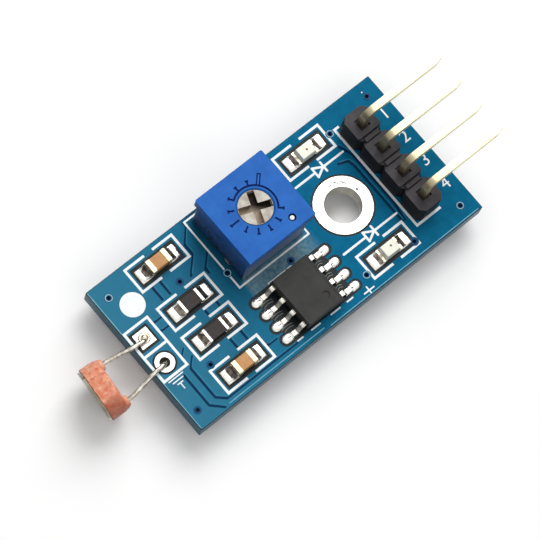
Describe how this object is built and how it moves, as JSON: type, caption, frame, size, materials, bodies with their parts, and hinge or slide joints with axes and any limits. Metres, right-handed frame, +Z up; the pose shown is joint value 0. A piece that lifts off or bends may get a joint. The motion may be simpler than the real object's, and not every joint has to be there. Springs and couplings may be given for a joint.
{
  "type": "light sensor module",
  "caption": "Small blue circuit board that compares the light on a photoresistor with a level set by a screwdriver-turned trimmer, with a bent pin header and a screw hole.",
  "frame": {"origin": "on the axis of the mounting hole, at the underside of the board", "axes": "+X along the board to the header end, +Y across it to the trimmer's edge, +Z up from the component side"},
  "size_m": [0.0394, 0.0144, 0.008],
  "materials": {
    "board": "satin blue solder mask",
    "tinned_copper": "bright tinned",
    "masked_copper": "satin",
    "print": "matte",
    "solder": "bright",
    "sensor_coat": "soft gloss",
    "electrode": "satin",
    "track": "matte",
    "window": "clear epoxy",
    "wire": "bright tinned",
    "trimmer_blue": "gloss",
    "rotor_cream": "satin",
    "seal_rubber": "matte",
    "wiper_bronze": "bright",
    "ceramic": "matte ceramic",
    "resin": "matte",
    "chip_moulding": "fine matte",
    "chip_lead": "bright tinned",
    "resistor_glaze": "satin glaze",
    "end_tin": "bright tinned",
    "capacitor_ceramic": "satin ceramic",
    "lamp_base": "satin",
    "lamp_gold": "bright",
    "lamp_die": "matte",
    "lamp_lens": "clear epoxy",
    "header_moulding": "satin",
    "header_pin": "bright tinned"
  },
  "bodies": {
    "board": {"capacitor_body_1": "capacitor_ceramic", "capacitor_body_2": "capacitor_ceramic", "capacitor_ends_1": "end_tin", "capacitor_ends_2": "end_tin", "circuit_board": "board", "comparator_body": "chip_moulding", "comparator_lead_1": "chip_lead", "comparator_lead_2": "chip_lead", "comparator_lead_3": "chip_lead", "comparator_lead_4": "chip_lead", "comparator_lead_5": "chip_lead", "comparator_lead_6": "chip_lead", "comparator_lead_7": "chip_lead", "comparator_lead_8": "chip_lead", "header_block": "header_moulding", "header_pin_1": "header_pin", "header_pin_2": "header_pin", "header_pin_3": "header_pin", "header_pin_4": "header_pin", "hole_eyelets": "tinned_copper", "lamp_base_1": "lamp_base", "lamp_base_2": "lamp_base", "lamp_die_1": "lamp_die", "lamp_die_2": "lamp_die", "lamp_ends_1": "lamp_gold", "lamp_ends_2": "lamp_gold", "lamp_lens_1": "lamp_lens", "lamp_lens_2": "lamp_lens", "mounting_ring_bottom": "tinned_copper", "mounting_ring_top": "tinned_copper", "resistor_body_1": "resistor_glaze", "resistor_body_2": "resistor_glaze", "resistor_ends_1": "end_tin", "resistor_ends_2": "end_tin", "sensor_body": "sensor_coat", "sensor_electrodes": "electrode", "sensor_lead_1": "wire", "sensor_lead_2": "wire", "sensor_track": "track", "sensor_window": "window", "solder_fillets": "solder", "solder_joints": "solder", "tinned_lands": "tinned_copper", "trimmer_base": "resin", "trimmer_element": "ceramic", "trimmer_housing": "trimmer_blue", "trimmer_terminal_1": "wire", "trimmer_terminal_2": "wire", "trimmer_terminal_3": "wire", "via_eyelets": "masked_copper", "white_print": "print"},
    "rotor": {"trimmer_rotor": "rotor_cream", "trimmer_wiper": "wiper_bronze", "trimmer_seal": "seal_rubber"}
  },
  "joints": [
    {"name": "trimmer_turn", "type": "hinge", "parent": "board", "child": "rotor", "pos_m": [-0.0073, 0.00345, 0.0064], "axis": [0, 0, 1], "range_deg": [-130, 130]}
  ]
}
